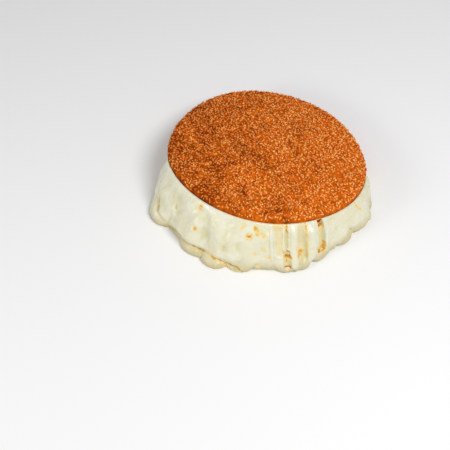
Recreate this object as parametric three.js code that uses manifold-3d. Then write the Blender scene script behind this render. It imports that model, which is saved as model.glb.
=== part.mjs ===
// A sesame kaak split in two and filled with melted cheese. The lower half lies flat. The upper half
// is propped up by the filling, highest at the front left and nearly closed at the back right.
// The cheese runs out at the front, over the lower half and onto the table, in lobes, folds and strings.
// Millimetres, +Z up. The origin is the centre of the lower half's flat underside, and the open side
// faces -Y. Directions around the loaf are in degrees, counter-clockwise from +X, so the front is 270.

import * as THREE from "three";
import { mergeVertices } from "three/addons/utils/BufferGeometryUtils.js";
import Module from "manifold-3d";

// Loaf
const loafRadius = 95;
const upperCentreHeight = 34; // shoulder circle of the upper half, at its middle
const upperTilt = 10.5;
const upperLowSide = 48; // direction in which the upper half is lowest
const upperWall = 10; // from the shoulder down to the split face
const wallSlant = 2.5; // the wall is this much lower on the low side and taller opposite
const shoulderRise = 2.6; // from the shoulder up to where the dome begins
const shoulderWidth = 7;
const domeRise = 5;
const lowerThickness = 7.5;
const edgeRounding = 2.5;

// Sesame on the upper half
const seedRings = 33;
const seedRise = 1.05;
const seedRiseSpread = 0.3; // share by which one seed stands higher or lower than another
const seedJitter = 0.6;
const bareRings = 1; // rings at the edge that carry no seed

// Cheese
const gap = 0.4; // kept between the cheese and both halves of the loaf
const lipDrop = 2.4; // the cheese climbs the upper half's wall to this far below its shoulder
const lipInFront = 1.8; // the lip stands this far outside the wall where the cheese runs out
const lipBehind = -6; // and this far inside it where the cheese stays between the halves
const lipInside = 3;
const lipDip = 1.2; // how far the lip falls back towards the wall
const edgeTuck = 1.4; // how far the cheese draws in where it meets the table
const bellyHeight = 3; // height at which a plain stretch of cheese is widest
const bellyOverFold = 5; // and how far above its puddle a folded stretch is widest
const bellyLean = 1.35; // shape of the slope from there up to the lip
const bellyRound = 0.83;
const foldTuck = 9; // how far a fold reaches in over the puddle below it
const foldBlend = 2.4;
const puddleMiddle = 0.35; // share of the puddle's height at which it is widest
const puddleReach = 7; // how far it draws in from there up to the fold
const puddleFall = 4;
const perDegree = 1.95; // millimetres along the skin for each degree

const degree = Math.PI / 180;

// Small numeric helpers

// Repeatable random numbers from 0 to 1.
function randomFrom(seed) {
  let state = seed;
  return () => {
    state = (state + 0x6d2b79f5) | 0;
    let mixed = Math.imul(state ^ (state >>> 15), 1 | state);
    mixed = (mixed + Math.imul(mixed ^ (mixed >>> 7), 61 | mixed)) ^ mixed;
    return ((mixed ^ (mixed >>> 14)) >>> 0) / 4294967296;
  };
}

// Signed angle from one direction to another, from -180 to 180.
function turn(from, to) {
  return ((((to - from) % 360) + 540) % 360) - 180;
}

function smoothStep(low, high, value) {
  return THREE.MathUtils.smoothstep(value, low, high);
}

function smoothMax(a, b, width) {
  const mix = THREE.MathUtils.clamp(0.5 + (a - b) / (2 * width), 0, 1);
  return b + (a - b) * mix + width * mix * (1 - mix);
}

// A smooth closed curve through [direction, value] stops, listed by rising direction.
function around(stops, direction) {
  const count = stops.length;
  for (let i = 0; i < count; i += 1) {
    const [fromDirection, fromValue] = stops[i];
    const [toDirection, toValue] = stops[(i + 1) % count];
    const span = (toDirection - fromDirection + 360) % 360;
    const offset = (direction - fromDirection + 720) % 360;
    if (offset <= span) {
      return fromValue + (toValue - fromValue) * smoothStep(0, 1, offset / span);
    }
  }
  return stops[0][1];
}

// A rounded swelling around one direction.
function swelling(direction, centre, halfWidth, roundness) {
  const part = turn(centre, direction) / halfWidth;
  return Math.abs(part) < 1 ? (1 - part * part) ** roundness : 0;
}

// Cheese sizes around the loaf: [direction, millimetres]

// Edge on the table, before the lobes are added. Behind, it stays between the two halves.
const edgeStops = [
  [8, 92],
  [30, 86],
  [60, 82],
  [95, 85],
  [130, 88],
  [155, 90],
  [168, 89],
  [178, 91],
  [187, 103],
  [214, 114],
  [237, 116],
  [250, 115],
  [263, 115],
  [290, 112],
  [302, 108],
  [309, 106],
  [322, 106],
  [340, 103.5],
  [352, 99],
];
// Lobes that run out past that edge: [direction, half width, reach, height at which it has faded]
const edgeLobes = [
  [201.8, 12, 11, 46],
  [231.5, 7.5, 5, 15],
  [243.9, 6, 9.8, 15],
  [255.4, 6, 5.3, 15],
  [278.2, 4.8, 5.2, 15],
  [285, 4.2, 5, 15],
  [296, 5, 3.4, 15],
  [312, 5.5, 5, 15],
  [325.5, 7.5, 5.2, 20],
  [336, 7, 4, 20],
];
// Belly of the main mass where it overhangs a puddle: [direction, radius]
const bellyStops = [
  [205, 114],
  [216, 113.5],
  [224, 116],
  [230, 117],
  [236, 114.5],
  [240, 115],
  [246, 118],
  [252, 117.5],
  [258, 116],
];
// Height of the puddle below the fold, nought where the mass runs straight down to the table
const puddleStops = [
  [211, 0],
  [217, 4],
  [223, 8],
  [230, 8.5],
  [236.5, 6],
  [240, 8],
  [245.5, 8],
  [249.5, 5.5],
  [254, 3],
  [259, 0],
];

// Strokes drawn on the skin: [half width, rise, roundness, then the path as [direction, height]].
// Creases and valleys between the swags
const creases = [
  [4.2, -3.2, 1.2, [200.5, 26], [203.5, 19], [206, 15]],
  [3.0, -1.8, 1.3, [206, 15], [208.5, 11.5], [212, 8]],
  [8, -1.7, 1.5, [233, 44], [235.3, 35], [237, 24], [237.5, 12]],
  [7, -2.2, 1.6, [230, 46], [228, 39], [222, 31], [218, 28]],
  [5, -1.2, 1.6, [247, 40], [247.5, 20]],
  [6, -1.2, 1.6, [254, 26], [255.5, 10]],
  [3.5, -1.6, 1.2, [309, 5], [312, 7.5], [317, 8.5]],
];
// Soft bulges between them
const bulges = [
  [9, 1.3, 1.6, [230.5, 33], [231, 20]],
  [9, 1.2, 1.6, [243, 34], [243, 22]],
  [8, 1.0, 1.6, [216, 30], [214, 20]],
  [8, 1.0, 1.6, [251, 30], [252, 16]],
];
// Windows torn between the strings
const windows = [
  [4.4, -1.6, 0.5, [273.7, 42], [274.3, 21]],
  [2.0, -1.6, 0.5, [278, 37], [277.8, 24]],
  [3.5, -3.6, 0.4, [277.8, 19], [277.8, 8]],
  [4.9, -3.2, 0.4, [286.7, 41], [286, 25], [285.6, 11]],
  [3.8, -4.4, 0.4, [298.2, 40], [297.2, 26], [296, 11.5]],
];
// Strings that stand proud of it
const strings = [
  [1.7, 1.2, 0.6, [270, 43], [270.8, 14]],
  [3.2, 1.6, 0.6, [282, 42], [281.3, 25], [281, 9]],
  [4.4, 1.6, 0.6, [292.9, 40], [291.3, 25], [290, 8]],
  [2.0, 1.0, 0.6, [301.5, 36], [300, 22], [298.5, 8]],
];
// Torn open up to the rim, where the wall behind shows
const tears = [[3.0, -9.0, 0.5, [298.6, 47], [297.4, 35.5]]];

// Column directions: close together where the strings are, wider apart behind
function columnDirections() {
  const spans = [
    [165, 186, 3.5],
    [186, 262, 2.05],
    [262, 304, 1.05],
    [304, 345, 2.6],
    [345, 525, 6.9],
  ];
  const directions = [];
  for (const [from, to, step] of spans) {
    const count = Math.round((to - from) / step);
    for (let i = 0; i < count; i += 1) {
      directions.push((from + ((to - from) * i) / count) % 360);
    }
  }
  return directions;
}

const levelFractions = [0, 0.03, 0.07, 0.11, 0.15, 0.185, 0.22, 0.27, 0.33, 0.41, 0.5, 0.6, 0.7, 0.8, 0.9, 1];

// Pose of the upper half: its own Z axis leans towards the low side
const upperPose = new THREE.Matrix4().compose(
  new THREE.Vector3(0, 0, upperCentreHeight),
  new THREE.Quaternion().setFromAxisAngle(
    new THREE.Vector3(-Math.sin(upperLowSide * degree), Math.cos(upperLowSide * degree), 0),
    upperTilt * degree,
  ),
  new THREE.Vector3(1, 1, 1),
);

// Meshes

// A mesh from a list of points and a list of triangles.
function meshGeometry(points, triangles) {
  const geometry = new THREE.BufferGeometry();
  geometry.setAttribute("position", new THREE.Float32BufferAttribute(points.flat(), 3));
  geometry.setIndex(triangles.flat());
  return geometry;
}

// Two bands of triangles between rings of the same length.
function band(lowerStart, upperStart, count, triangles) {
  for (let i = 0; i < count; i += 1) {
    const next = (i + 1) % count;
    triangles.push([lowerStart + i, lowerStart + next, upperStart + next]);
    triangles.push([lowerStart + i, upperStart + next, upperStart + i]);
  }
}

// Loaf

// Outline of the upper half, a little out of round.
function upperRadius(direction) {
  const a = direction * degree;
  return (
    loafRadius +
    0.5 * Math.cos(2 * a - 1.4) +
    1.25 * Math.cos(3 * a + 1.7) +
    0.3 * Math.cos(4 * a) +
    0.5 * Math.cos(5 * a + 2.2)
  );
}

// Height of the upper half's crust over its shoulder, at a part of its radius.
function crustHeight(part, direction) {
  const a = direction * degree;
  const x = part * loafRadius * Math.cos(a);
  const y = part * loafRadius * Math.sin(a);
  const shoulderPart = shoulderWidth / loafRadius;
  const over = Math.max(0, (part - 1 + shoulderPart) / shoulderPart);
  const shoulder = shoulderRise * Math.sqrt(Math.max(0, 1 - over * over));
  const dome = domeRise * (1 - part ** 2.2);
  const swell =
    0.55 * Math.sin(x / 11 + 0.6) * Math.cos(y / 13 - 0.4) +
    0.45 * Math.sin(x / 19 - y / 16 + 1.9) +
    0.35 * Math.cos(x / 8.5 + y / 9.5);
  return shoulder + dome + swell * (1 - part ** 4);
}

// The upper half: rings of six more points each, with every third point raised as a seed.
function upperHalf() {
  const random = randomFrom(41);
  const ringSpacing = loafRadius / seedRings;
  const points = [];
  const triangles = [];
  for (let ring = 0; ring <= seedRings; ring += 1) {
    const count = Math.max(1, 6 * ring);
    for (let i = 0; i < count; i += 1) {
      const side = ring ? Math.floor(i / ring) : 0;
      const along = ring ? i % ring : 0;
      const raised = isSeed(ring, side, along) && ring <= seedRings - bareRings;
      const jitter = ring < seedRings ? seedJitter : 0;
      const shiftAlong = (2 * random() - 1) * jitter;
      const shiftOut = (2 * random() - 1) * jitter;
      const direction = (360 * i) / count + shiftAlong / (ring * ringSpacing + 1) / degree;
      const part = ring / seedRings + shiftOut / loafRadius;
      const rise = raised ? seedRise * (1 + seedRiseSpread * (2 * random() - 1)) : 0;
      const radius = Math.max(0, part) * upperRadius(direction);
      points.push([
        radius * Math.cos(direction * degree),
        radius * Math.sin(direction * degree),
        crustHeight(part, direction) + rise,
      ]);
    }
  }
  for (let ring = 1; ring <= seedRings; ring += 1) {
    joinRings(ring, triangles);
  }
  return closeBelow(points, triangles, 6 * seedRings, 0);
}

// Every third point of the triangular pattern, so that no two seeds touch.
function isSeed(ring, side, along) {
  const steps = [
    [1, 0],
    [0, 1],
    [-1, 1],
    [-1, 0],
    [0, -1],
    [1, -1],
  ];
  const out = steps[side];
  const across = steps[(side + 2) % 6];
  const first = ring * out[0] + along * across[0];
  const second = ring * out[1] + along * across[1];
  return (((first - second) % 3) + 3) % 3 === 0;
}

function joinRings(ring, triangles) {
  const outerStart = 1 + 3 * ring * (ring - 1);
  const innerStart = ring > 1 ? 1 + 3 * (ring - 1) * (ring - 2) : 0;
  const outerCount = 6 * ring;
  const innerCount = Math.max(1, 6 * (ring - 1));
  for (let side = 0; side < 6; side += 1) {
    for (let i = 0; i < ring; i += 1) {
      const outer = side * ring + i;
      const inner = side * (ring - 1) + i;
      const a = outerStart + (outer % outerCount);
      const b = outerStart + ((outer + 1) % outerCount);
      const c = innerStart + (inner % innerCount);
      triangles.push([c, a, b]);
      if (i < ring - 1) {
        triangles.push([c, b, innerStart + ((inner + 1) % innerCount)]);
      }
    }
  }
}

// Wall and flat split face of the upper half, below a top whose last ring is its shoulder.
function closeBelow(points, triangles, count, offset) {
  let last = points.length - count;
  const wall = [
    [0.1, 0.4],
    [0.9, 0.75],
    [edgeRounding + 0.8, 1],
  ];
  for (const [inset, part] of wall) {
    const start = points.length;
    for (let i = 0; i < count; i += 1) {
      const direction = (360 * i) / count;
      const radius = upperRadius(direction) - inset + offset;
      const slant = (wallSlant * radius * Math.cos((direction - upperLowSide) * degree)) / loafRadius;
      const drop = (upperWall - slant + offset) * part;
      points.push([radius * Math.cos(direction * degree), radius * Math.sin(direction * degree), -drop]);
    }
    band(start, last, count, triangles);
    last = start;
  }
  const centre = points.length;
  points.push([0, 0, -upperWall - offset]);
  for (let i = 0; i < count; i += 1) {
    triangles.push([last + ((i + 1) % count), last + i, centre]);
  }
  return meshGeometry(points, triangles);
}

// The room that the upper half takes out of the cheese: the same wall and split face, a gap larger.
function upperRoom() {
  const count = 102;
  const points = [];
  const triangles = [];
  const top = points.length;
  points.push([0, 0, shoulderRise + domeRise]);
  for (let i = 0; i < count; i += 1) {
    const direction = (360 * i) / count;
    const radius = upperRadius(direction) + gap;
    points.push([radius * Math.cos(direction * degree), radius * Math.sin(direction * degree), 0]);
  }
  for (let i = 0; i < count; i += 1) {
    triangles.push([top, 1 + i, 1 + ((i + 1) % count)]);
  }
  return closeBelow(points, triangles, count, gap).applyMatrix4(upperPose);
}

// The lower half, or with a gap the room that it takes out of the cheese.
function lowerHalf(offset) {
  const arcSteps = 3;
  const radius = loafRadius + offset;
  const underside = -20 * offset; // the room reaches well below the table
  const profile = [new THREE.Vector2(0, underside)];
  profile.push(new THREE.Vector2(radius - edgeRounding * 0.6, underside));
  profile.push(new THREE.Vector2(radius, edgeRounding * 0.8));
  for (let i = 0; i <= arcSteps; i += 1) {
    const a = (i / arcSteps) * 90 * degree;
    profile.push(
      new THREE.Vector2(
        radius - edgeRounding * (1 - Math.cos(a)),
        lowerThickness + offset - edgeRounding * (1 - Math.sin(a)),
      ),
    );
  }
  profile.push(new THREE.Vector2(0, lowerThickness + offset));
  return new THREE.LatheGeometry(profile, 72).rotateX(90 * degree);
}

// Cheese

// Outline of the cheese at a height. The lobes soften and sink as they rise.
function edgeRadius(direction, height) {
  let radius = around(edgeStops, direction);
  for (const [centre, half, reach, fade] of edgeLobes) {
    const spread = smoothStep(1, fade, height);
    const lobe = swelling(direction, centre, half + 4 * spread, 0.6 + 0.6 * spread);
    radius += reach * (1 - 0.5 * spread) * lobe;
  }
  return radius;
}

// How far the cheese climbs past the upper half's wall: proud of it in front, well inside behind.
function lipOutside(direction) {
  const front = smoothStep(174, 194, direction) * (1 - smoothStep(346, 358, direction));
  return THREE.MathUtils.lerp(lipBehind, lipInFront, front);
}

// A point of the lip, in the upper half's own frame and then in the part's.
function lipPoint(direction, outside, drop) {
  const radius = upperRadius(direction) + outside;
  const point = new THREE.Vector3(
    radius * Math.cos(direction * degree),
    radius * Math.sin(direction * degree),
    -drop,
  );
  return point.applyMatrix4(upperPose);
}

// How far inside a stroke on the skin a point is, from 0 at its side to 1 along its middle.
function alongStroke(azimuth, height, half, roundness, path) {
  let nearest = half;
  for (let i = 1; i < path.length; i += 1) {
    const [startAt, startHeight] = path[i - 1];
    const [endAt, endHeight] = path[i];
    const run = (endAt - startAt) * perDegree;
    const rise = endHeight - startHeight;
    const x = turn(startAt, azimuth) * perDegree;
    const y = height - startHeight;
    const part = THREE.MathUtils.clamp((x * run + y * rise) / (run * run + rise * rise), 0, 1);
    nearest = Math.min(nearest, Math.hypot(x - part * run, y - part * rise));
  }
  return (1 - (nearest / half) ** 2) ** roundness;
}

function drawn(strokes, azimuth, height) {
  let relief = 0;
  for (const [half, rise, roundness, ...path] of strokes) {
    relief += rise * alongStroke(azimuth, height, half, roundness, path);
  }
  return relief;
}

// Strokes fade out under the rim, apart from the tears.
function massRelief(azimuth, height, lipHeight) {
  const faded = 1 - smoothStep(0.86, 1, height / lipHeight);
  const strokes = [...creases, ...bulges, ...windows, ...strings];
  return drawn(strokes, azimuth, height) * faded + drawn(tears, azimuth, height);
}

// Radius of the cheese's skin at a direction and at a height between the table and the lip.
function skinRadius(direction, azimuth, height, lipRadius, lipHeight) {
  const edge = edgeRadius(direction, 0);
  const puddleHeight = around(puddleStops, direction);
  const overhang = smoothStep(0, 5, puddleHeight);
  const plain = edgeRadius(direction, height);
  const belly = THREE.MathUtils.lerp(plain, around(bellyStops, direction), overhang);
  const widest = THREE.MathUtils.lerp(bellyHeight, puddleHeight + bellyOverFold, overhang);
  const tuck = THREE.MathUtils.lerp(edgeTuck, foldTuck, overhang);
  let mass;
  if (height < widest) {
    mass = belly - tuck * (1 - height / widest) ** 2;
  } else {
    const climb = (height - widest) / (lipHeight - widest);
    mass = lipRadius + (belly - lipRadius) * (1 - climb ** bellyLean) ** bellyRound;
  }
  mass += massRelief(azimuth, height, lipHeight);
  if (puddleHeight <= 0.5) {
    return mass;
  }
  const middle = puddleMiddle * puddleHeight;
  const over = THREE.MathUtils.clamp((height - middle) / (puddleHeight - middle), 0, 1);
  const foot = edgeTuck * Math.max(0, 1 - height / middle) ** 2;
  const above = puddleFall * Math.max(0, height - puddleHeight);
  const puddle = edge - puddleReach * (1 - Math.sqrt(1 - over * over)) - foot - above;
  return smoothMax(mass, puddle, foldBlend);
}

// The cheese before the loaf's room is taken out: columns of points from the table up to the lip.
function cheeseBody() {
  const directions = columnDirections();
  const count = directions.length;
  const points = [];
  const triangles = [];
  for (const fraction of levelFractions) {
    for (const direction of directions) {
      const lip = lipPoint(direction, lipOutside(direction), lipDrop);
      const lipRadius = Math.hypot(lip.x, lip.y);
      const lipTurn = turn(direction, Math.atan2(lip.y, lip.x) / degree);
      const height = lip.z * fraction;
      const azimuth = direction + lipTurn * fraction;
      const radius = skinRadius(direction, azimuth, height, lipRadius, lip.z);
      const a = azimuth * degree;
      points.push([radius * Math.cos(a), radius * Math.sin(a), height]);
    }
  }
  const levels = levelFractions.length;
  for (let level = 1; level < levels; level += 1) {
    band((level - 1) * count, level * count, count, triangles);
  }
  const inner = points.length;
  for (const direction of directions) {
    const lip = lipPoint(direction, Math.min(lipOutside(direction), 0) - lipInside, lipDrop + lipDip);
    points.push([lip.x, lip.y, lip.z]);
  }
  band((levels - 1) * count, inner, count, triangles);
  const bottom = points.length;
  points.push([0, 0, 0]);
  const top = points.length;
  points.push([0, 0, upperCentreHeight - lipDrop - lipDip]);
  for (let i = 0; i < count; i += 1) {
    const next = (i + 1) % count;
    triangles.push([next, i, bottom]);
    triangles.push([inner + i, inner + next, top]);
  }
  return meshGeometry(points, triangles);
}

// Joining and cutting

const wasm = await Module();
wasm.setup();

function solidFrom(geometry) {
  const bare = geometry.clone();
  bare.deleteAttribute("normal");
  bare.deleteAttribute("uv");
  const merged = mergeVertices(bare, 1e-4);
  return new wasm.Manifold(
    new wasm.Mesh({
      numProp: 3,
      vertProperties: new Float32Array(merged.attributes.position.array),
      triVerts: new Uint32Array(merged.index.array),
    }),
  );
}

function geometryFrom(solid) {
  const mesh = solid.getMesh();
  const geometry = new THREE.BufferGeometry();
  geometry.setAttribute("position", new THREE.BufferAttribute(mesh.vertProperties, 3));
  geometry.setIndex(new THREE.BufferAttribute(mesh.triVerts, 1));
  geometry.computeVertexNormals();
  return geometry;
}

function filling() {
  const body = solidFrom(cheeseBody());
  const open = body.subtract(solidFrom(upperRoom())).subtract(solidFrom(lowerHalf(gap)));
  return geometryFrom(open);
}

// The sandwich

function named(name, geometry, material) {
  const mesh = new THREE.Mesh(geometry, material);
  mesh.name = name;
  return mesh;
}

const crust = new THREE.MeshStandardMaterial({ color: 0xc4682a, roughness: 0.6, metalness: 0 });
const lowerCrust = new THREE.MeshStandardMaterial({ color: 0xc07a3e, roughness: 0.7, metalness: 0 });
const cheese = new THREE.MeshStandardMaterial({ color: 0xe9e2c6, roughness: 0.35, metalness: 0 });

const upper = named("bread_top", upperHalf(), crust);
upper.applyMatrix4(upperPose);

const kaak = new THREE.Group();
kaak.add(upper);
kaak.add(named("cheese", filling(), cheese));
kaak.add(named("bread_bottom", lowerHalf(0), lowerCrust));

export default kaak;
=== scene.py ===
# A round sesame kaak, split in two and filled with melted cheese. The lower half lies flat. The
# filling props up the upper half and runs out at the front in folds, windows and strings.
import math

import bpy
import numpy as np
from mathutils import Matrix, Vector


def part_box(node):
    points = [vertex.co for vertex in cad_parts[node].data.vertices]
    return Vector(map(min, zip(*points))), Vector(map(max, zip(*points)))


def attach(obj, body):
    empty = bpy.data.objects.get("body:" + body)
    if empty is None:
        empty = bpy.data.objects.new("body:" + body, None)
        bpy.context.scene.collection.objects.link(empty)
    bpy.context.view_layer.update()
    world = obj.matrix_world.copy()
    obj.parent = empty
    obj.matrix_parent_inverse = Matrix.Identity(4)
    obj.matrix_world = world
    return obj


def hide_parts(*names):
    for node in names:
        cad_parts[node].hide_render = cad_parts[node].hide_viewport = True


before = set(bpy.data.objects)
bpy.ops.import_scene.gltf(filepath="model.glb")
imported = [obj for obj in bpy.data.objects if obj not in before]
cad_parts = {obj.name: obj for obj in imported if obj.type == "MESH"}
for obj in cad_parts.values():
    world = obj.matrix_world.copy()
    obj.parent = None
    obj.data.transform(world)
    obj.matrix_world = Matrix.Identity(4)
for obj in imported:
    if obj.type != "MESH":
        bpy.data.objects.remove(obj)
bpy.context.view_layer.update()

# Shapes are worked out in millimetres and become metres when a mesh is made. Directions round the
# loaf are in degrees, counter-clockwise from +X, so the open front is at 270.
mm = 0.001
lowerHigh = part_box("bread_bottom")[1]
print("frame loaded, loaf radius", round(lowerHigh.x / mm, 1), "mm")


# Numbers

def smoothStep(low, high, value):
    part = np.clip((value - low) / (high - low), 0, 1)
    return part * part * (3 - 2 * part)


def lerp(a, b, part):
    return a + (b - a) * part


# Signed angle from one direction to another, from -180 to 180
def turn(start, end):
    return (end - start + 180) % 360 - 180


# The larger of two values, blended where they come within a width of each other
def smoothMax(a, b, width):
    mix = np.clip(0.5 + (a - b) / (2 * width), 0, 1)
    return b + (a - b) * mix + width * mix * (1 - mix)


# A smooth closed curve through (direction, value) stops
def around(stops, direction):
    at = np.array([stop[0] for stop in stops], float)
    values = np.array([stop[1] for stop in stops], float)
    knots = np.append((at - at[0]) % 360, 360)
    values = np.append(values, values[0])
    offset = (direction - at[0]) % 360
    i = np.searchsorted(knots, offset, side="right") - 1
    part = smoothStep(0, 1, (offset - knots[i]) / (knots[i + 1] - knots[i]))
    return lerp(values[i], values[i + 1], part)


# A rounded swelling round one direction
def swelling(direction, centre, half, roundness):
    part = turn(centre, direction) / half
    return np.maximum(0, 1 - part * part) ** roundness


# Gentle unevenness about 1 high: plane waves in random directions, some shorter and some longer
def unevenness(points, wavelength, seed, waves=16, shortest=0.7, longest=1.5):
    random = np.random.default_rng(seed)
    total = np.zeros(points.shape[:-1])
    for _ in range(waves):
        heading = random.normal(size=3)
        length = np.linalg.norm(heading) * wavelength * random.uniform(shortest, longest)
        heading *= 2 * math.pi / length
        total += np.cos(points @ heading + random.uniform(0, 2 * math.pi))
    return total / math.sqrt(waves / 2)


# Layers of unevenness over each other: (height, wavelength, seed)
def layered(points, layers):
    return sum(height * unevenness(points, wavelength, seed) for height, wavelength, seed in layers)


def polar(radius, direction, height):
    a = np.radians(direction)
    radius, a, height = np.broadcast_arrays(radius, a, height)
    return np.stack([radius * np.cos(a), radius * np.sin(a), height], -1)


def azimuthOf(points):
    return np.degrees(np.arctan2(points[..., 1], points[..., 0])) % 360


def allRound(columns):
    return np.arange(columns) * 360 / columns


def unit(vectors):
    return vectors / np.linalg.norm(vectors, axis=1)[:, None]


# Meshes

# A closed form from rings of points: the first closes on one centre point, the last on another
def closedForm(first, rings, last):
    count = len(rings[0])
    points = np.concatenate([[first], *rings, [last]])
    index = 1 + np.arange(len(rings) * count).reshape(len(rings), count)
    ahead = np.roll(index, -1, axis=1)
    sides = np.stack([index[:-1], ahead[:-1], ahead[1:], index[1:]], -1).reshape(-1, 4)
    end = len(points) - 1
    faces = [(0, b, a) for a, b in zip(index[0].tolist(), ahead[0].tolist())]
    faces += sides.tolist()
    faces += [(end, a, b) for a, b in zip(index[-1].tolist(), ahead[-1].tolist())]
    return points, faces


def newObject(name, points, faces):
    mesh = bpy.data.meshes.new(name)
    mesh.from_pydata((points * mm).tolist(), [], faces)
    mesh.validate()
    mesh.shade_smooth()
    made = bpy.data.objects.new(name, mesh)
    bpy.context.scene.collection.objects.link(made)
    return made


def vectorsOf(values, name):
    flat = np.empty(len(values) * 3, np.float32)
    values.foreach_get(name, flat)
    return flat.reshape(-1, 3).astype(float)


def pointsOf(piece):
    return vectorsOf(piece.data.vertices, "co") / mm


def normalsOf(piece):
    return vectorsOf(piece.data.vertex_normals, "vector")


# Puts a piece's points a distance out from the given places, along its normals
def pushOut(piece, points, distance):
    moved = points + normalsOf(piece) * distance[:, None]
    piece.data.vertices.foreach_set("co", (moved * mm).astype(np.float32).ravel())
    piece.data.update()


# A number for each point, which the finishes read by its name
def paint(piece, name, values):
    layer = piece.data.attributes.new(name, "FLOAT", "POINT")
    layer.data.foreach_set("value", np.asarray(values, np.float32))


# How deep each point lies in a hollow, in millimetres: its distance under the smoothed surface
def hollowDepth(piece, rounds):
    points = pointsOf(piece)
    count = len(points)
    edges = np.empty(len(piece.data.edges) * 2, np.int32)
    piece.data.edges.foreach_get("vertices", edges)
    a, b = edges.reshape(-1, 2).T
    degree = np.bincount(np.concatenate([a, b]), minlength=count)[:, None]
    smooth = points
    for _ in range(rounds):
        total = np.stack([
            np.bincount(a, smooth[b, axis], count) + np.bincount(b, smooth[a, axis], count)
            for axis in range(3)
        ], -1)
        smooth = 0.5 * smooth + 0.5 * total / degree
    return ((smooth - points) * normalsOf(piece)).sum(-1)


# Cuts the room of another piece out of a piece, and clears the room away
def cutAway(piece, room):
    cut = piece.modifiers.new("cut", "BOOLEAN")
    cut.operation = "DIFFERENCE"
    cut.solver = "MANIFOLD"
    cut.object = room
    view = bpy.context.evaluated_depsgraph_get()
    mesh = bpy.data.meshes.new_from_object(piece.evaluated_get(view))
    piece.modifiers.clear()
    piece.data = mesh
    bpy.data.objects.remove(room)


# Materials

# Sets a socket of a node to a value, or links it to another node's socket
def feed(tree, target, value):
    if isinstance(value, Wire):
        tree.links.new(value.socket, target)
    else:
        target.default_value = value


# One socket of a material, or none to begin with. Arithmetic on it adds Math nodes
class Wire:
    def __init__(self, tree, socket=None):
        self.tree = tree
        self.socket = socket

    # Any node: its type, its settings, which are set first, then the values or links of its sockets
    def node(self, kind, settings=None, sockets=None, output=0):
        made = self.tree.nodes.new("ShaderNode" + kind)
        for name, value in (settings or {}).items():
            setattr(made, name, value)
        for name, value in (sockets or {}).items():
            target = next(s for s in made.inputs if name in (s.identifier, s.name))
            feed(self.tree, target, value)
        return Wire(self.tree, made.outputs[output])

    def math(self, operation, other):
        return self.node("Math", dict(operation=operation), {"Value": self, "Value_001": other})

    def __add__(self, other):
        return self.math("ADD", other)

    def __mul__(self, other):
        return self.math("MULTIPLY", other)

    __radd__ = __add__
    __rmul__ = __mul__


# A colour as seen on a screen, 0 to 255, by the standard screen curve
def screen(red, green, blue):
    def linear(value):
        part = value / 255
        return part / 12.92 if part <= 0.04045 else ((part + 0.055) / 1.055) ** 2.4

    return (linear(red), linear(green), linear(blue), 1)


# A material with one Principled shader, and the few mixtures that the finishes share
class Finish:
    def __init__(self, name, **sockets):
        self.material = bpy.data.materials.new(name)
        self.material.use_nodes = True
        self.wire = Wire(self.material.node_tree)
        self.shader = self.wire.tree.nodes["Principled BSDF"]
        self.place = self.wire.node("TexCoord", output=3)  # in the piece's own metres
        for name, value in sockets.items():
            self.set(name.replace("_", " "), value)

    def set(self, name, value):
        feed(self.wire.tree, self.shader.inputs[name], value)

    # Noise from 0 to 1 with grains of a size in millimetres
    def noise(self, size, detail, roughness):
        return self.wire.node("TexNoise", None, {
            "Vector": self.place, "Scale": 1 / (size * mm),
            "Detail": detail, "Roughness": roughness,
        })

    def painted(self, name):
        return self.wire.node("Attribute", dict(attribute_name=name), output=2)

    # A value spread from one range to the range 0 to 1
    def between(self, value, low, high):
        return self.wire.node("MapRange", dict(interpolation_type="SMOOTHSTEP"), {
            "Value": value, "From Min": low, "From Max": high,
        })

    def mixed(self, first, second, part):
        return self.wire.node("Mix", dict(data_type="RGBA"), {
            "Factor_Float": part, "A_Color": first, "B_Color": second,
        }, output=2)

    # Two colours in patches of a noise, with the noise's values from low to high between them
    def patched(self, first, second, size, detail, roughness, low, high):
        patches = self.between(self.noise(size, detail, roughness), low, high)
        return self.mixed(first, second, patches)

    # Relief from a noise, with its depth in millimetres
    def bump(self, size, detail, roughness, depth, strength):
        height = self.noise(size, detail, roughness)
        self.set("Normal", self.wire.node("Bump", None, {
            "Height": height, "Distance": depth * mm, "Strength": strength,
        }))


# Loaf

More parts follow.
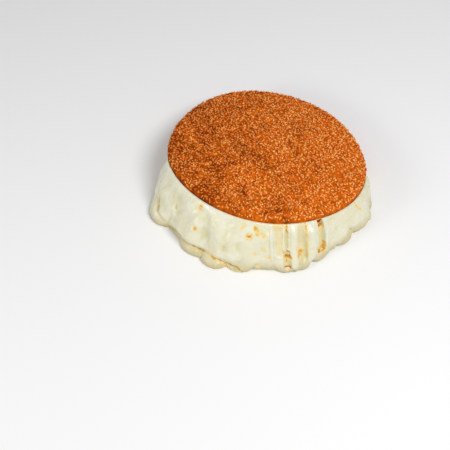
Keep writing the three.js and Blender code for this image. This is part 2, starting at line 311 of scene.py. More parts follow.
loaf = dict(
    radius=lowerHigh.x / mm,
    columns=360,
    upperCentreHeight=34,  # shoulder circle of the upper half, at its middle
    upperTilt=10.5,
    upperLowSide=48,  # direction in which the upper half is lowest
    upperWall=10,  # from the shoulder down to the split face
    wallSlant=2.5,  # the wall is this much lower on the low side and taller opposite
    wallInset=3.3,  # how far the wall draws in at the split face
    wallCurve=5,
    wallRings=14,
    # The outline is a little out of round: (waves round it, height, shift in radians)
    outline=((2, 0.5, -1.4), (3, 1.25, 1.7), (4, 0.3, 0), (5, 0.5, 2.2)),
    shoulderRise=2.6,
    shoulderWidth=7,
    domeRise=5,
    domeCurve=2.2,
    # Low swells of the top: height, lengths along X and Y, then shifts in radians
    moundSwell=(0.55, 11, 13, 0.6, -0.4),
    longSwell=(0.45, 19, 16, 1.9),
    shortSwell=(0.35, 8.5, 9.5),
    swellFade=4,  # the higher, the closer to the edge they fade
    topRings=112,
    topSpacing=1.15,  # above 1, the rings crowd at the shoulder
    faceRings=40,
    faceSpan=(0.05, 0.98),  # first and last ring of the split face, as parts of the wall's edge
    faceBelow=0.6,  # points further down the wall than this share of it, and
    faceRim=4,  # this far in from the radius, are crumb
    # Layers of unevenness: (height, wavelength, seed)
    crumpleDepth=0.16,
    crumple=((1, 4.5, 3), (0.8, 9, 4)),
    crumbDepth=0.45,
    crumb=((1, 3.2, 5), (1, 7, 6)),
    clouds=((0.15, 38, 31), (0.24, 11, 32)),
    browning=0.2,  # how dark the oven has baked the top, on average
    browningLean=(-0.6, 0.06),  # and how much darker it gets over a radius along X and Y
    darkCrust=screen(180, 76, 0),
    paleCrust=screen(224, 112, 12),
    brownedCrust=screen(124, 44, 0),
    crumbColours=(screen(214, 170, 108), screen(238, 212, 164)),
)


# From the upper half's own frame, level with its shoulder at nought, to where it rests
def upperPose(points):
    tilt = math.radians(loaf["upperTilt"])
    low = math.radians(loaf["upperLowSide"])
    axis = np.array([-math.sin(low), math.cos(low), 0])
    turned = (
        points * math.cos(tilt)
        + np.cross(axis, points) * math.sin(tilt)
        + axis * (points @ axis)[..., None] * (1 - math.cos(tilt))
    )
    return turned + [0, 0, loaf["upperCentreHeight"]]


def upperRadius(direction):
    radius = loaf["radius"]
    for waves, height, shift in loaf["outline"]:
        radius = radius + height * np.cos(waves * np.radians(direction) + shift)
    return radius


def topSwell(x, y):
    height, alongX, alongY, shiftX, shiftY = loaf["moundSwell"]
    total = height * np.sin(x / alongX + shiftX) * np.cos(y / alongY + shiftY)
    height, alongX, alongY, shift = loaf["longSwell"]
    total = total + height * np.sin(x / alongX - y / alongY + shift)
    height, alongX, alongY = loaf["shortSwell"]
    return total + height * np.cos(x / alongX + y / alongY)


# Height of the upper crust over its shoulder, at a part of its radius
def crustHeight(part, direction):
    flat = polar(part * loaf["radius"], direction, 0)
    shoulderPart = loaf["shoulderWidth"] / loaf["radius"]
    over = np.clip((part - 1 + shoulderPart) / shoulderPart, 0, 1)
    shoulder = loaf["shoulderRise"] * np.sqrt(1 - over * over)
    dome = loaf["domeRise"] * (1 - part ** loaf["domeCurve"])
    swell = topSwell(flat[..., 0], flat[..., 1])
    return shoulder + dome + swell * (1 - part ** loaf["swellFade"])


def crustPoints(part, direction):
    radius = part * upperRadius(direction)
    return polar(radius, direction, crustHeight(part, direction))


# Rings of the upper half's wall, from the split face up to just under the shoulder
def upperWallRings(columns, gap):
    direction = allRound(columns)
    rings = []
    for part in np.linspace(1, 0, loaf["wallRings"])[:-1]:
        radius = upperRadius(direction) - loaf["wallInset"] * part ** loaf["wallCurve"] + gap
        slant = loaf["wallSlant"] * radius * np.cos(np.radians(direction - loaf["upperLowSide"]))
        drop = (loaf["upperWall"] - slant / loaf["radius"] + gap) * part
        rings.append(polar(radius, direction, -drop))
    return rings


# How dark the oven has baked the top, from 0 to 1
def browning(points):
    flat = points * [1, 1, 0]
    alongX, alongY = loaf["browningLean"]
    lean = (alongY * flat[:, 1] + alongX * flat[:, 0]) / loaf["radius"]
    return np.clip(loaf["browning"] + layered(flat, loaf["clouds"]) + lean, 0, 1)


# Gives a half its crust, and crumb on each face that has all its points in the split face
def dressHalf(piece, crust, inFace):
    for polygon in piece.data.polygons:
        polygon.material_index = int(all(inFace[i] for i in polygon.vertices))
    piece.data.materials.append(crust)
    piece.data.materials.append(crumbFinish())


def upperCrust():
    direction = allRound(loaf["columns"])
    wall = upperWallRings(loaf["columns"], 0)
    centre = np.array([0, 0, -loaf["upperWall"]])
    # The split face follows the wall's lower edge, which is not level
    rings = [
        lerp(centre, wall[0], part)
        for part in np.linspace(*loaf["faceSpan"], loaf["faceRings"])
    ]
    rings += wall
    for part in 1 - np.linspace(0, 1, loaf["topRings"])[:-1] ** loaf["topSpacing"]:
        rings.append(crustPoints(part, direction))
    own, faces = closedForm(centre, rings, crustPoints(0.0, 0.0))
    piece = newObject("crustTop", upperPose(own), faces)
    reach = np.hypot(own[:, 0], own[:, 1])
    low = own[:, 2] < -loaf["upperWall"] * loaf["faceBelow"]
    inFace = low & (reach < loaf["radius"] - loaf["faceRim"])
    crumple = loaf["crumpleDepth"] * layered(own, loaf["crumple"])
    crumb = loaf["crumbDepth"] * layered(own, loaf["crumb"])
    pushOut(piece, pointsOf(piece), np.where(inFace, crumb, crumple))
    paint(piece, "browning", browning(own))
    dressHalf(piece, crustFinish(), inFace)
    return piece


def crustFinish():
    finish = Finish("sesameCrust", Roughness=0.6, Specular_IOR_Level=0.04)
    colour = finish.patched(
        loaf["darkCrust"], loaf["paleCrust"],
        size=4, detail=4, roughness=0.65, low=0.35, high=0.65,
    )
    colour = finish.mixed(colour, loaf["brownedCrust"], finish.painted("browning") * 0.85)
    finish.set("Base Color", colour)
    finish.bump(size=1.6, detail=4, roughness=0.6, depth=0.5, strength=0.7)
    return finish.material


def crumbFinish():
    finish = Finish("breadCrumb", Roughness=0.8)
    finish.set("Base Color", finish.patched(
        *loaf["crumbColours"],
        size=3.5, detail=4, roughness=0.6, low=0.35, high=0.62,
    ))
    finish.bump(size=2.2, detail=5, roughness=0.65, depth=1.0, strength=0.8)
    return finish.material


# Lower half

lowerHalf = dict(
    thickness=lowerHigh.z / mm,
    rounding=2.5,  # of its upper and lower edge
    # Rings from the base up into the side: (distance in from the side, height), in roundings
    baseEdge=((0.6, 0), (0.25, 0.25), (0, 0.8), (0, 1.4)),
    topEdgeRings=8,
    baseSpan=(0.03, 0.96, 34),  # first and last ring as parts of the radius, and how many
    faceSpan=(0.95, 0.03, 60),
    faceRim=0.5,  # crust that shows inside the rounding of the upper edge
    # Layers of unevenness: (height, wavelength, seed)
    crumple=((0.12, 6, 11),),
    crumb=((0.3, 4, 12),),
    crumbSunk=0.25,
    highest=0.3,  # no unevenness stands further out, so that it stays under the cheese
    nearly=0.01,  # points this near a level face lie in it
    crustColours=(screen(198, 124, 56), screen(172, 94, 34)),
)


def lowerCrust():
    radius, thickness = loaf["radius"], lowerHalf["thickness"]
    rounding, nearly = lowerHalf["rounding"], lowerHalf["nearly"]
    profile = [(radius * part, 0.0) for part in np.linspace(*lowerHalf["baseSpan"])]
    for inward, height in lowerHalf["baseEdge"]:
        profile.append((radius - rounding * inward, rounding * height))
    for a in np.radians(np.linspace(0, 90, lowerHalf["topEdgeRings"])):
        height = thickness - rounding * (1 - math.sin(a))
        profile.append((radius - rounding * (1 - math.cos(a)), height))
    profile += [(radius * part, thickness) for part in np.linspace(*lowerHalf["faceSpan"])]
    rings = [polar(reach, allRound(loaf["columns"]), height) for reach, height in profile]
    points, faces = closedForm([0, 0, 0], rings, [0, 0, thickness])
    piece = newObject("crustBottom", points, faces)
    reach = np.hypot(points[:, 0], points[:, 1])
    height = points[:, 2]
    inFace = (height > thickness - nearly) & (reach < radius - rounding - lowerHalf["faceRim"])
    crumple = layered(points, lowerHalf["crumple"])
    crumb = layered(points, lowerHalf["crumb"]) - lowerHalf["crumbSunk"]
    relief = np.minimum(np.where(inFace, crumb, crumple), lowerHalf["highest"])
    pushOut(piece, points, np.where(height < nearly, 0, relief))
    dressHalf(piece, lowerFinish(), inFace)
    return piece


def lowerFinish():
    finish = Finish("plainCrust", Roughness=0.6)
    finish.set("Base Color", finish.patched(
        *lowerHalf["crustColours"],
        size=18, detail=4, roughness=0.6, low=0.35, high=0.68,
    ))
    finish.bump(size=1.8, detail=4, roughness=0.6, depth=0.4, strength=0.6)
    return finish.material


# Sesame

sesame = dict(
    laid=6000,
    fallen=0.09,  # share of them missing, in patches
    length=2.5,
    width=1.7,
    thickness=1.05,
    sides=6,
    sections=3,
    pointed=0.28,  # about how much narrower a seed is at its pointed end
    pointCurve=1.3,
    seed=7,
    turnEach=137.508,  # from each seed to the next, so that they spread evenly
    scatter=0.9,
    bareEdge=((180, 0.1), (265, 0.1), (285, 0.4), (335, 0.9), (350, 0.3)),  # (direction, width)
    bareEdgeSpread=(0.7, 1.6),  # times that width
    patches=(7, 43),  # wavelength and seed of the patches where seeds are missing
    strays=0.35,  # how ragged the patches are
    lean=0.45,
    spread=0.19,  # how unlike each other the seeds are in size
    spreadLimit=0.35,
    sunk=0.3,  # share of the thickness that lies in the crust
    lift=(-0.1, 0.45),  # and how far from there a seed may stand up, in thicknesses
    paleness=(0, 1.5),
    endShade=0.75,  # painted shade: how much of its paleness a seed loses at its ends
    endCurve=1.5,
    # colour of the darkest seeds, which the painted shade at each seed's ends also runs towards
    toastedAndShadedColour=screen(238, 112, 18),
    paleColour=screen(255, 190, 108),
    brownedColour=screen(204, 98, 18),
)


# One seed with its blunt end towards +X, as points and faces
def seedForm():
    sides, sections, half = sesame["sides"], sesame["sections"], sesame["length"] / 2
    about = np.arange(sides) * 2 * math.pi / sides
    rings = []
    for a in np.radians(np.linspace(0, 180, sections + 2)[1:-1]):
        taper = 1 - sesame["pointed"] * (1 - math.cos(a)) ** sesame["pointCurve"] / 2
        ring = np.stack([
            np.full(sides, math.cos(a) * half),
            np.cos(about) * math.sin(a) * taper * sesame["width"] / 2,
            np.sin(about) * math.sin(a) * taper * sesame["thickness"] / 2,
        ], -1)
        rings.append(ring[::-1])  # so that the faces look outwards
    return closedForm([half, 0, 0], rings, [-half, 0, 0])


# Where the seeds lie on the crust, as parts of its radius and directions
def seedPlaces(random):
    count = sesame["laid"]
    number = np.arange(count)
    direction = (number * sesame["turnEach"]) % 360
    radius = np.sqrt((number + 0.5) / count) * upperRadius(direction)
    shift = random.normal(scale=sesame["scatter"], size=(count, 2))
    flat = polar(radius, direction, 0)[:, :2] + shift
    direction = azimuthOf(flat)
    outline = upperRadius(direction)
    bare = around(sesame["bareEdge"], direction) * random.uniform(*sesame["bareEdgeSpread"], count)
    part = np.minimum(np.hypot(flat[:, 0], flat[:, 1]), outline - bare) / outline
    patches = unevenness(polar(part * loaf["radius"], direction, 0), *sesame["patches"])
    hold = patches + random.normal(scale=sesame["strays"], size=count)
    kept = np.argsort(hold)[:round(count * (1 - sesame["fallen"]))]
    return part[kept], direction[kept]


def sesameSeeds():
    random = np.random.default_rng(sesame["seed"])
    part, direction = seedPlaces(random)
    count = len(part)
    place = crustPoints(part, direction)
    # The crust's slope at each seed, from a short way out and to the side: as a part of the radius
    # and in degrees
    out, aside = 0.003, 0.5
    outward = crustPoints(part + out, direction) - crustPoints(np.maximum(part - out, 0), direction)
    sideways = crustPoints(part, direction + aside) - crustPoints(part, direction - aside)
    normal = unit(np.cross(outward, sideways))
    normal = unit(normal + random.normal(scale=sesame["lean"], size=(count, 3)) * [1, 1, 0])
    along = unit(np.cross(normal, random.normal(size=(count, 3))))
    across = np.cross(normal, along)
    limit = sesame["spreadLimit"]
    size = 1 + random.normal(scale=sesame["spread"], size=(count, 3)).clip(-limit, limit)
    thickness = sesame["thickness"]
    lift = thickness * (0.5 - sesame["sunk"]) + random.uniform(*sesame["lift"], count) * thickness

    form, faces = seedForm()
    points = (place + normal * lift[:, None])[:, None, :]
    for i, axis in enumerate((along, across, normal)):
        points = points + axis[:, None, :] * (form[None, :, i, None] * size[:, i, None, None])
    starts = range(0, count * len(form), len(form))
    allFaces = [[start + j for j in face] for start in starts for face in faces]
    piece = newObject("sesameSeeds", upperPose(points.reshape(-1, 3)), allFaces)
    # Each seed is palest in its middle, with painted shade darkening it towards its ends
    endwise = np.abs(form[:, 0]) / np.abs(form[:, 0]).max()
    endShading = 1 - sesame["endShade"] * endwise ** sesame["endCurve"]
    paint(piece, "paleness", (random.uniform(*sesame["paleness"], count)[:, None] * endShading).ravel())
    paint(piece, "browning", np.repeat(browning(place), len(form)))
    piece.data.materials.append(sesameFinish())
    return piece


def sesameFinish():
    finish = Finish("toastedSesame", Roughness=0.45, Specular_IOR_Level=0.1)
    # From toasted to pale by the paleness, which also holds the painted shade at the seeds' ends
    colour = finish.mixed(sesame["toastedAndShadedColour"], sesame["paleColour"], finish.painted("paleness"))
    colour = finish.mixed(colour, sesame["brownedColour"], finish.painted("browning") * 0.7)
    finish.set("Base Color", colour)
    return finish.material


# Cheese

cheese = dict(
    gap=0.4,  # kept between the cheese and both halves of the loaf
    lipDrop=2.4,  # the cheese climbs the upper half's wall to this far below its shoulder
    lipInFront=1.8,  # the lip stands this far outside the wall where the cheese runs out
    lipBehind=-6,  # and this far inside it where the cheese stays between the halves
    lipSpan=((174, 194), (346, 358)),  # directions over which it comes out and goes back in
    lipInside=3,
    lipDip=1.2,  # how far the lip falls back towards the wall
    lipEdge=(0.8, 0.15),  # how far the lip's inner edge lies in from the skin and above it
    edgeTuck=1.4,  # how far the cheese draws in where it meets the table
    bellyHeight=3,  # height at which a plain stretch of cheese is widest
    bellyOverFold=5,  # and how far above its puddle a folded stretch is widest
    bellyLean=1.35,  # shape of the slope from there up to the lip
    bellyRound=0.83,
    foldTuck=9,  # how far a fold reaches in over the puddle below it
    foldBlend=2.4,
    foldFull=5,  # height of the puddle from which the fold hangs over it in full
    puddleLeast=0.5,  # lower than this there is no puddle
    puddleMiddle=0.35,  # share of the puddle's height at which it is widest
    puddleReach=7,  # how far it draws in from there up to the fold
    puddleFall=4,
    lobeFoot=1,  # height from which the lobes soften and sink
    lobeWiden=4,
    lobeRound=0.6,
    lobeSink=0.5,  # share of their reach that they lose
    skinSwell=0.9,  # gentle unevenness of the skin
    skinLayers=((0.85, 22, 21), (0.1, 8, 22)),  # (height, wavelength, seed)
    spotDepth=0.7,  # toasted blisters are sunk
    skinFade=(2, 0.88),  # both fade below this height, and above this share of the lip's height
    strokeFade=0.86,  # strokes fade above this share of it, apart from the tears
    perDegree=1.95,  # millimetres along the skin for each degree
    markRound=1.2,
    stainAndShadeRound=1,
    stainAndShadeDepth=(0.08, 0.5),  # depth of a hollow where the stains and their painted shade begin and where they are full
    paintRound=0.8,
    footShadeHeight=14,  # painted shade darkens and yellows the skin below this
    hollowRounds=50,
    sharpAngle=50,
    # Columns of the skin: (first direction, last direction, step)
    columnSpans=(
        (165, 186, 1.2), (186, 262, 0.35), (262, 304, 0.25), (304, 345, 0.5), (345, 525, 1.8),
    ),
    levels=100,
    fineLevels=360,  # at which the skin is worked out before its points are spaced evenly
    # The rooms of both halves, which are cut out of it
    roomColumns=240,
    roomFoot=-8,  # below the table
    roomSide=0.8,  # height of the lower room's side, in roundings
    roomEdgeRings=6,
    # Edge on the table before the lobes are added: (direction, radius)
    edge=(
        (8, 92), (30, 86), (60, 82), (95, 85), (130, 88), (155, 90), (168, 89), (178, 91),
        (187, 103), (214, 114), (237, 116), (250, 115), (263, 115), (290, 112), (302, 108),
        (309, 106), (322, 106), (340, 103.5), (352, 99),
    ),
    # Lobes that run out past it: (direction, half width, reach, height at which it has faded)
    lobes=(
        (201.8, 12, 11, 46), (231.5, 7.5, 5, 15), (243.9, 6, 9.8, 15), (255.4, 6, 5.3, 15),
        (278.2, 4.8, 5.2, 15), (285, 4.2, 5, 15), (296, 5, 3.4, 15), (312, 5.5, 5, 15),
        (325.5, 7.5, 5.2, 20), (336, 7, 4, 20),
    ),
    # Belly of the main mass where it overhangs a puddle: (direction, radius)
    belly=(
        (205, 114), (216, 113.5), (224, 116), (230, 117), (236, 114.5), (240, 115), (246, 118),
        (252, 117.5), (258, 116),
    ),
    # Height of the puddle below the fold, nought where the mass runs straight down to the table
    puddle=(
        (211, 0), (217, 4), (223, 8), (230, 8.5), (236.5, 6), (240, 8), (245.5, 8), (249.5, 5.5),
        (254, 3), (259, 0),
    ),
    # Strokes drawn on the skin: (half width, rise, roundness, then direction and height of each
    # point). Creases and valleys
    creases=(
        (4.2, -3.2, 1.2, (200.5, 26), (203.5, 19), (206, 15)),
        (3.0, -1.8, 1.3, (206, 15), (208.5, 11.5), (212, 8)),
        (8, -1.7, 1.5, (233, 44), (235.3, 35), (237, 24), (237.5, 12)),
        (7, -2.2, 1.6, (230, 46), (228, 39), (222, 31), (218, 28)),
        (5, -1.2, 1.6, (247, 40), (247.5, 20)),
        (6, -1.2, 1.6, (254, 26), (255.5, 10)),
        (3.5, -1.6, 1.2, (309, 5), (312, 7.5), (317, 8.5)),
    ),
    # Soft bulges between them
    bulges=(
        (9, 1.3, 1.6, (230.5, 33), (231, 20)),
        (9, 1.2, 1.6, (243, 34), (243, 22)),
        (8, 1.0, 1.6, (216, 30), (214, 20)),
        (8, 1.0, 1.6, (251, 30), (252, 16)),
    ),
    # Windows torn between the strings
    windows=(
        (4.4, -1.6, 0.5, (273.7, 42), (274.3, 21)),
        (2.0, -1.6, 0.5, (278, 37), (277.8, 24)),
        (3.5, -3.6, 0.4, (277.8, 19), (277.8, 8)),
        (4.9, -3.2, 0.4, (286.7, 41), (286, 25), (285.6, 11)),
        (3.8, -4.4, 0.4, (298.2, 40), (297.2, 26), (296, 11.5)),
    ),
    # Torn open up to the rim, where the wall behind shows
    tears=(
        (3.0, -9.0, 0.5, (298.6, 47), (297.4, 35.5)),
    ),
    # Strings that stand proud of it
    strings=(
        (1.7, 1.2, 0.6, (270, 43), (270.8, 14)),
        (1.0, 1.2, 0.6, (278.2, 43), (276.3, 37), (276, 24)),
        (0.9, 1.0, 0.6, (278.2, 43), (279.2, 34)),
        (3.2, 1.6, 0.6, (282, 42), (281.3, 25), (281, 9)),
        (4.4, 1.6, 0.6, (292.9, 40), (291.3, 25), (290, 8)),
        (2.0, 1.0, 0.6, (301.5, 36), (300, 22), (298.5, 8)),
    ),
    # Toasted marks, with painted shade among them: thin dark lines at the bottom of windows and
    # under the tear, faint straw along the foot and a mark down the left crease. (half width,
    # strength, then direction and height of each point)
    toastedAndShaded=(
        (2.8, 0.3, (211.4, 36), (212, 35)), (2.4, 0.6, (215.9, 31.4), (216.2, 29)),
        (3.2, 0.55, (230.2, 47), (230, 43.6)), (2.9, 0.65, (231.6, 29), (231.9, 28)),
        (2.6, 0.35, (256.3, 44.5), (255, 42)), (4.8, 0.6, (259, 35.9), (259.4, 35.8)),
        (1.9, 1.15, (259.1, 35.6), (259.6, 35.5)), (3.0, 0.7, (261.8, 42.6), (263.2, 38.8)),
        (2.6, 0.5, (263.5, 40), (266.7, 36.4)), (3.4, 0.4, (266.2, 24), (266.4, 22.6)),
        (2.6, 0.35, (262.4, 19.6), (262.8, 19.2)), (2.8, 0.42, (268, 16.5), (269.8, 16.3)),
        (4.2, 0.32, (271.6, 42), (277, 42)), (4.4, 0.16, (274, 37), (274.6, 21)),
        (2.2, 0.7, (278.2, 42), (278.4, 37)), (2.6, 0.4, (275.8, 21.4), (276.2, 20)),
        (2.9, 1.1, (277.6, 15.6), (279, 15.6)), (2.2, 0.6, (277.6, 11.4), (278, 11)),
        # painted shadow: the thin dark line (1, 1.2) across the bottom of the first window
        (1, 1.2, (276.6, 6.4), (279.3, 6.4)), (4.4, 0.16, (285.6, 40), (285.4, 12)),
        (4.0, 0.85, (283.9, 16.8), (285.2, 15.8)), (2.4, 0.4, (282.6, 23), (283, 21)),
        (1.8, 0.6, (288.9, 41), (288.7, 34)), (1.6, 0.36, (288.7, 34), (288.9, 27), (288.3, 12)),
        # painted shadow: the dark line (2.4, 1.2) under the tear
        (4.8, 0.54, (298.6, 47), (297.4, 33)), (2.4, 1.2, (298.4, 30.6), (296.6, 30.6)),
        (3.0, 0.4, (296, 26.5), (297.6, 26.5)),
        (2.4, 0.7, (298, 16), (297.8, 10.5), (296.3, 8.4)),
        # painted shadow: the thin dark line (1.1, 1.2) at the bottom of the last window
        (2.2, 0.6, (296, 8.4), (294.2, 10), (294, 14)), (1.1, 1.2, (293.8, 10.2), (295, 9)),
        (2.4, 0.5, (323.9, 29.4), (323.9, 26)), (2.4, 0.55, (324.6, 24), (326.2, 19.3)),
        (3.0, 0.4, (249.6, 3), (250.6, 1)), (3.4, 0.4, (264, 6.6), (264.8, 5)),
        # painted shade: the faint straw along the foot, here and on the next line, and the mark
        # down the left crease
        (7, 0.16, (248, 3), (259, 3)), (6, 0.14, (238, 3), (246, 4)),
        (5, 0.14, (222, 4), (232, 4)), (2.6, 0.22, (201.6, 20.6), (204, 16.6), (206.5, 13)),
    ),
    # Amber stains of oil, darkened as painted shade, that lie in the bottom of a crease
    stainedAndShaded=(
        (3, 0.45, (211, 10), (213, 8)), (3, 0.85, (232.5, 8.5), (235.5, 7.5)),
        (3, 0.3, (224, 8), (230, 8.5)), (3, 0.85, (243.5, 8.5), (247, 8)),
        (3, 0.35, (239.5, 8.5), (250, 6)),
    ),
    skinColour=screen(232, 229, 206),
    cloudColour=screen(226, 221, 188),
    # Painted shade darkens and yellows the skin towards the foot. The skin is yellower in the
    # windows, where it is thin, with painted shade in their recess, and paler on the strings,
    # partly as a painted
    # highlight: (colour, strength)
    paints=dict(
        foot=(screen(190, 174, 120), 0.85),
        windows=(screen(228, 212, 158), 0.6),
        strings=(screen(230, 228, 208), 0.6),
    ),
    # Painted shade in the hollows, olive, turning amber in the deepest, where oil also gathers:
    # (colour, depth where it begins, depth where it is full, strength)
    hollowShadeTints=(
        (screen(214, 206, 150), 0.08, 0.6, 0.65),
        (screen(196, 156, 76), 0.5, 1.1, 0.8),
    ),
    # And over the toasted marks and the painted shade among them, from straw through amber to brown
    toastAndShadeTints=(
        (screen(240, 212, 142), 0.04, 0.3, 0.8),
        (screen(222, 168, 62), 0.28, 0.62, 1),
        (screen(164, 98, 20), 0.62, 1.1, 1),
    ),
    speckShare=(0.65, 0.45),  # how much of the toasting and its painted shade lies in specks, and how much is even
    gloss=(0.22, 0.24),  # how much the roughness varies, and its least value
)


def columnDirections():
    spans = [
        np.linspace(start, end, round((end - start) / step), endpoint=False)
        for start, end, step in cheese["columnSpans"]
    ]
    return np.concatenate(spans) % 360


# Outline of the cheese at a height. The lobes soften and sink as they rise
def edgeRadius(direction, height=0):
    total = around(cheese["edge"], direction)
    roundness = cheese["lobeRound"]
    for at, half, reach, fade in cheese["lobes"]:
        spread = smoothStep(cheese["lobeFoot"], fade, height)
        wide = half + cheese["lobeWiden"] * spread
        lobe = swelling(direction, at, wide, roundness + roundness * spread)
        total = total + reach * (1 - cheese["lobeSink"] * spread) * lobe
    return total


def lipOutside(direction):
    comesOut, goesIn = cheese["lipSpan"]
    front = smoothStep(*comesOut, direction) * (1 - smoothStep(*goesIn, direction))
    return lerp(cheese["lipBehind"], cheese["lipInFront"], front)


def lipPoint(direction, outside, drop):
    return upperPose(polar(upperRadius(direction) + outside, direction, -drop))


# How far inside a stroke on the skin a point is, from 0 at its side to 1 along its middle
def alongStroke(azimuth, height, half, roundness, ends):
    nearest = np.full(np.broadcast(azimuth, height).shape, half, float)
    for (startAt, startHeight), (endAt, endHeight) in zip(ends, ends[1:]):
        run, rise = (endAt - startAt) * cheese["perDegree"], endHeight - startHeight
        x, y = turn(startAt, azimuth) * cheese["perDegree"], height - startHeight
        part = np.clip((x * run + y * rise) / (run * run + rise * rise), 0, 1)
        nearest = np.minimum(nearest, np.hypot(x - part * run, y - part * rise))
    return np.maximum(0, 1 - (nearest / half) ** 2) ** roundness


def massRelief(azimuth, height, lipHeight):
    def drawn(*names):
        return sum(
            rise * alongStroke(azimuth, height, half, roundness, ends)
            for name in names
            for half, rise, roundness, *ends in cheese[name]
        )

    fade = 1 - smoothStep(cheese["strokeFade"], 1, height / lipHeight)
    return drawn("creases", "bulges", "windows", "strings") * fade + drawn("tears")


# The strongest of several marks at each point, darkest in the middle of each
def strongest(azimuth, height, marks, roundness):
    return np.max([
        strength * alongStroke(azimuth, height, half, roundness, ends)
        for half, strength, *ends in marks
    ], axis=0)


# The toasted marks and the painted shade among them, the strongest at each point
def toastingAndShade(azimuth, height):
    return strongest(azimuth, height, cheese["toastedAndShaded"], cheese["markRound"])


# Radius of the cheese's skin at a direction and at a height between the table and the lip
def skinRadius(direction, azimuth, height, lipRadius, lipHeight):
    puddleHeight = around(cheese["puddle"], direction)
    overhang = smoothStep(0, cheese["foldFull"], puddleHeight)
    plain = edgeRadius(direction, height)
    belly = lerp(plain, around(cheese["belly"], direction), overhang)
    widest = lerp(cheese["bellyHeight"], puddleHeight + cheese["bellyOverFold"], overhang)
    tuck = lerp(cheese["edgeTuck"], cheese["foldTuck"], overhang)
    under = belly - tuck * (1 - height / widest) ** 2
    climb = np.clip((height - widest) / (lipHeight - widest), 0, 1)
    slope = (1 - climb ** cheese["bellyLean"]) ** cheese["bellyRound"]
    mass = np.where(height < widest, under, lipRadius + (belly - lipRadius) * slope)
    mass = mass + massRelief(azimuth, height, lipHeight)
    high = np.maximum(puddleHeight, cheese["puddleLeast"])
    middle = cheese["puddleMiddle"] * high
    over = np.clip((height - middle) / (high - middle), 0, 1)
    foot = cheese["edgeTuck"] * np.maximum(0, 1 - height / middle) ** 2
    above = cheese["puddleFall"] * np.maximum(0, height - high)
    top = cheese["puddleReach"] * (1 - np.sqrt(1 - over * over))
    puddle = edgeRadius(direction) - top - foot - above
    both = smoothMax(mass, puddle, cheese["foldBlend"])
    return np.where(puddleHeight <= cheese["puddleLeast"], mass, both)


# Points of the skin at directions and at heights given as a fraction of the way up to the lip
def skinPoints(direction, fraction):
    lip = lipPoint(direction, lipOutside(direction), cheese["lipDrop"])
    lipTurn = turn(direction, np.degrees(np.arctan2(lip[..., 1], lip[..., 0])))
    height = lip[..., 2] * fraction
    azimuth = direction + lipTurn * fraction
    lipRadius = np.hypot(lip[..., 0], lip[..., 1])
    return polar(skinRadius(direction, azimuth, height, lipRadius, lip[..., 2]), azimuth, height)


# The skin as columns from the table to the lip, with points evenly spaced along each column
def skinGrid():
    direction = columnDirections()
    fine = np.linspace(0, 1, cheese["fineLevels"])
    grid = skinPoints(direction[None, :], fine[:, None])
    step = np.linalg.norm(np.diff(grid, axis=0), axis=-1)
    travelled = np.concatenate([np.zeros((1, len(direction))), np.cumsum(step, axis=0)])
    even = np.linspace(0, 1, cheese["levels"])
    rings = np.empty((len(even), len(direction), 3))
    for column in range(len(direction)):
        at = travelled[:, column] / travelled[-1, column]
        for axis in range(3):
            rings[:, column, axis] = np.interp(even, at, grid[:, column, axis])
    return direction, rings


def upperRoom():
    gap, direction = cheese["gap"], allRound(cheese["roomColumns"])
    wall = upperWallRings(cheese["roomColumns"], gap)
    shoulder = polar(upperRadius(direction) + gap, direction, 0)
    bottom = [0, 0, -loaf["upperWall"] - gap]
    top = [0, 0, loaf["shoulderRise"] + loaf["domeRise"]]
    points, faces = closedForm(bottom, [*wall, shoulder], top)
    return newObject("upperRoom", upperPose(points), faces)


def lowerRoom():
    foot, rounding = cheese["roomFoot"], lowerHalf["rounding"]
    direction = allRound(cheese["roomColumns"])
    radius = loaf["radius"] + cheese["gap"]
    height = lowerHalf["thickness"] + cheese["gap"]
    rings = [polar(radius, direction, z) for z in (foot, rounding * cheese["roomSide"])]
    for a in np.radians(np.linspace(0, 90, cheese["roomEdgeRings"])):
        reach = radius - rounding * (1 - math.cos(a))
        rings.append(polar(reach, direction, height - rounding * (1 - math.sin(a))))
    points, faces = closedForm([0, 0, foot], rings, [0, 0, height])
    return newObject("lowerRoom", points, faces)


# The skin with its unevenness and sunk blisters, then the lip, closed through the middle
def cheeseForm():
    direction, rings = skinGrid()
    height = rings[..., 2]
    shift = (
        cheese["skinSwell"] * layered(rings, cheese["skinLayers"])
        - cheese["spotDepth"] * toastingAndShade(azimuthOf(rings), height)
    )
    foot, high = cheese["skinFade"]
    shift = shift * smoothStep(0, foot, height) * (1 - smoothStep(high, 1, height / height[-1]))
    outward = rings / np.linalg.norm(rings[..., :2], axis=-1)[..., None] * [1, 1, 0]
    rings = rings + outward * shift[..., None]
    outside, drop, dip = lipOutside(direction), cheese["lipDrop"], cheese["lipDip"]
    edgeIn, edgeUp = cheese["lipEdge"]
    edge = lipPoint(direction, outside - edgeIn, drop - edgeUp)
    inner = lipPoint(direction, np.minimum(outside, 0) - cheese["lipInside"], drop + dip)
    top = [0, 0, loaf["upperCentreHeight"] - drop - dip]
    return closedForm([0, 0, 0], [*rings, edge, inner], top)


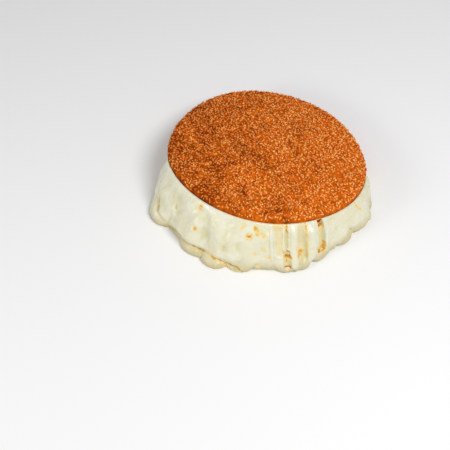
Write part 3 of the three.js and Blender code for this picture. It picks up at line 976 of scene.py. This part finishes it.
def meltedCheese():
    piece = newObject("meltedCheese", *cheeseForm())
    cutAway(piece, upperRoom())
    cutAway(piece, lowerRoom())
    piece.data.set_sharp_from_angle(angle=math.radians(cheese["sharpAngle"]))
    points = pointsOf(piece)
    azimuth, height = azimuthOf(points), points[:, 2]
    hollow = hollowDepth(piece, cheese["hollowRounds"])
    # Stains of oil with painted shade, only in the deeper hollows
    stainsAndShade = strongest(azimuth, height, cheese["stainedAndShaded"], cheese["stainAndShadeRound"])
    stainsAndShade = stainsAndShade * smoothStep(*cheese["stainAndShadeDepth"], hollow)
    paint(piece, "hollow", hollow)
    paint(piece, "toastingAndShade", np.maximum(toastingAndShade(azimuth, height), stainsAndShade))
    # Painted shade, darkening and yellowing the skin towards the table
    paint(piece, "foot", 1 - smoothStep(0, cheese["footShadeHeight"], height))
    # Masks for the windows, yellower where the skin is thin and with painted shade in their recess,
    # and for the strings, paler partly as a painted highlight
    for name in ("windows", "strings"):
        strokes = [(half, 1, *ends) for half, _, _, *ends in cheese[name]]
        paint(piece, name, strongest(azimuth, height, strokes, cheese["paintRound"]))
    piece.data.materials.clear()
    piece.data.materials.append(cheeseFinish())
    return piece


def cheeseFinish():
    finish = Finish(
        "meltedCheese", Subsurface_Weight=0.25, Subsurface_Scale=0.004,
        Subsurface_Radius=(1.0, 0.85, 0.6),
    )
    colour = finish.patched(
        cheese["skinColour"], cheese["cloudColour"],
        size=14, detail=3, roughness=0.5, low=0.35, high=0.65,
    )
    # Painted shade at the foot, the yellower windows and the paler strings, over the skin
    for name, (over, strength) in cheese["paints"].items():
        colour = finish.mixed(colour, over, finish.painted(name) * strength)
    # Toasting, with the painted shade among its marks, breaks up into specks and fades at its edges
    specks = finish.between(finish.noise(size=2.6, detail=4, roughness=0.62), 0.36, 0.64)
    byThem, always = cheese["speckShare"]
    toastAndShade = finish.painted("toastingAndShade") * (specks * byThem + always)
    hollow = finish.painted("hollow")
    # Painted shade in the hollows, then the toasted marks with the painted shade among them
    for depth, tints in ((hollow, cheese["hollowShadeTints"]), (toastAndShade, cheese["toastAndShadeTints"])):
        for over, low, high, strength in tints:
            colour = finish.mixed(colour, over, finish.between(depth, low, high) * strength)
    finish.set("Base Color", colour)
    finish.bump(size=7, detail=3, roughness=0.5, depth=1.6, strength=0.8)
    varied, smoothest = cheese["gloss"]
    patches = finish.between(finish.noise(size=9, detail=2, roughness=0.5), 0.3, 0.7)
    finish.set("Roughness", patches * varied + smoothest)
    return finish.material


# Pieces

crustTop = upperCrust()
print("upper crust:", len(crustTop.data.polygons), "faces")
seeds = sesameSeeds()
print("sesame:", len(seeds.data.polygons), "faces")
filling = meltedCheese()
print("cheese:", len(filling.data.polygons), "faces")
crustBottom = lowerCrust()
print("lower crust:", len(crustBottom.data.polygons), "faces")

for piece, node, slot in (
    (crustTop, "bread_top", "sesame_crust"),
    (seeds, "bread_top", "sesame_crust"),
    (filling, "cheese", "melted_cheese"),
    (crustBottom, "bread_bottom", "lower_crust"),
):
    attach(piece, "root")
    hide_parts(node)


# Floor, light and camera

studio = dict(
    floorReach=6.0,  # metres to each side
    floorColour=screen(246, 246, 246),
    skyColour=(1, 1, 1, 1),
    skyStrength=0.39,
    lens=84,
    elevation=52,
    cameraPlace=(-41.3, -675.1, 785.9),  # in millimetres
    # Soft boxes: place and aim in metres, width, watts
    boxes=(
        ((0.42, -0.5, 1.0), (0, 0, 0), 0.5, 8.0),
        ((-0.9, -0.55, 0.5), (0, -0.03, 0.02), 0.35, 2.9),
    ),
)


def layFloor():
    corners = np.array([(-1, -1, 0), (1, -1, 0), (1, 1, 0), (-1, 1, 0)])
    floor = newObject("floor", corners * studio["floorReach"] / mm, [(0, 1, 2, 3)])
    finish = Finish("paleFloor", Roughness=0.9)
    finish.set("Base Color", studio["floorColour"])
    floor.data.materials.append(finish.material)


def aimAt(thing, target):
    facing = thing.location - Vector(target)
    thing.rotation_euler = facing.to_track_quat("Z", "Y").to_euler()


def hangLights():
    for number, (place, target, width, watts) in enumerate(studio["boxes"]):
        light = bpy.data.lights.new(f"softBox{number}", "AREA")
        light.shape = "DISK"
        light.size = width
        light.energy = watts
        box = bpy.data.objects.new(light.name, light)
        box.location = place
        aimAt(box, target)
        bpy.context.scene.collection.objects.link(box)
    world = bpy.data.worlds.new("studio")
    bpy.context.scene.world = world
    world.use_nodes = True
    sky = world.node_tree.nodes["Background"].inputs
    sky["Color"].default_value = studio["skyColour"]
    sky["Strength"].default_value = studio["skyStrength"]


def setCamera():
    camera = bpy.data.objects.new("camera", bpy.data.cameras.new("camera"))
    camera.data.lens = studio["lens"]
    camera.location = [value * mm for value in studio["cameraPlace"]]
    camera.rotation_euler = (math.radians(90 - studio["elevation"]), 0, 0)
    bpy.context.scene.collection.objects.link(camera)
    bpy.context.scene.camera = camera


layFloor()
hangLights()
setCamera()
bpy.context.scene.view_settings.view_transform = "Standard"
print("studio ready")
